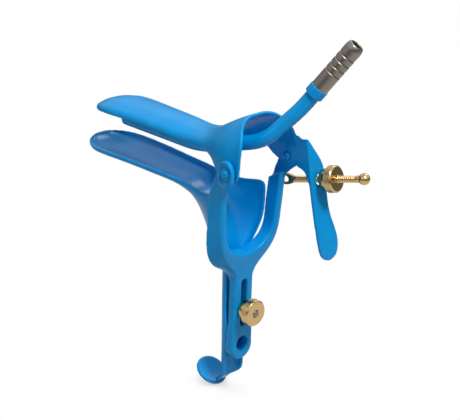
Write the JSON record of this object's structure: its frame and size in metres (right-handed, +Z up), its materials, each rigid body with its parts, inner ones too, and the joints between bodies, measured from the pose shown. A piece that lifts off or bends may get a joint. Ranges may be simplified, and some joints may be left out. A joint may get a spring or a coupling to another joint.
{
  "type": "bivalve speculum",
  "caption": "Two-bladed vaginal speculum: hinged upper blade with thumb lever, screw rod and nut, sliding lower blade with finger hook, and a smoke evacuation tube.",
  "frame": {"origin": "centre of the bounding box in X and Y, at the finger hook's lowest point", "axes": "+Z up along the stem, +Y forward to the blade tips, +X to the side of the thumb lever"},
  "size_m": [0.0736, 0.1942, 0.2335],
  "materials": {
    "blue_coat": "gloss coat over steel",
    "blue_rivet": "gloss coat over steel",
    "stud_steel": "machined",
    "pin_steel": "machined",
    "nipple_steel": "satin, turned",
    "brass_nut": "polished faces, knurled rim",
    "rod_brass": "threaded, polished"
  },
  "bodies": {
    "lower": {"lower_blade": "blue_coat", "stem_stud": "stud_steel"},
    "stem_nut": {"stem_nut": "brass_nut"},
    "yoke": {"yoke": "blue_coat", "pivot_rivet_left": "blue_rivet", "pivot_rivet_right": "blue_rivet", "rod_pin": "pin_steel"},
    "upper": {"upper_blade": "blue_coat", "thumb_lever": "blue_coat", "smoke_tube": "blue_coat", "tube_collar": "blue_coat", "hose_nipple": "nipple_steel"},
    "rod": {"screw_rod": "rod_brass", "rod_end_knob": "rod_brass"},
    "lever_nut": {"lever_nut": "brass_nut"}
  },
  "joints": [
    {"name": "yoke_slide", "type": "slide", "parent": "lower", "child": "yoke", "axis": [0, 0, 1], "range_m": [-0.0165, 0.0088]},
    {"name": "stem_nut_turn", "type": "hinge", "parent": "lower", "child": "stem_nut", "pos_m": [-0.00631, -0.0441, 0.05777], "axis": [0, 1, 0], "continuous": true},
    {"name": "blade_tilt", "type": "hinge", "parent": "yoke", "child": "upper", "pos_m": [-0.00631, -0.0441, 0.15377], "axis": [1, 0, 0], "range_deg": [0, 25]},
    {"name": "rod_swing", "type": "hinge", "parent": "yoke", "child": "rod", "pos_m": [0.02359, -0.0336, 0.13527], "axis": [1, 0, 0], "range_deg": [-1, 16]},
    {"name": "lever_nut_travel", "type": "slide", "parent": "rod", "child": "lever_nut", "axis": [0.1685, -0.9608, 0.2201], "range_m": [-0.0074, 0.001]}
  ],
  "couplings": [
    {"joint": "rod_swing", "follows": "blade_tilt", "ratio": 0.558},
    {"joint": "lever_nut_travel", "follows": "blade_tilt", "m_per_rad": -0.0154}
  ]
}
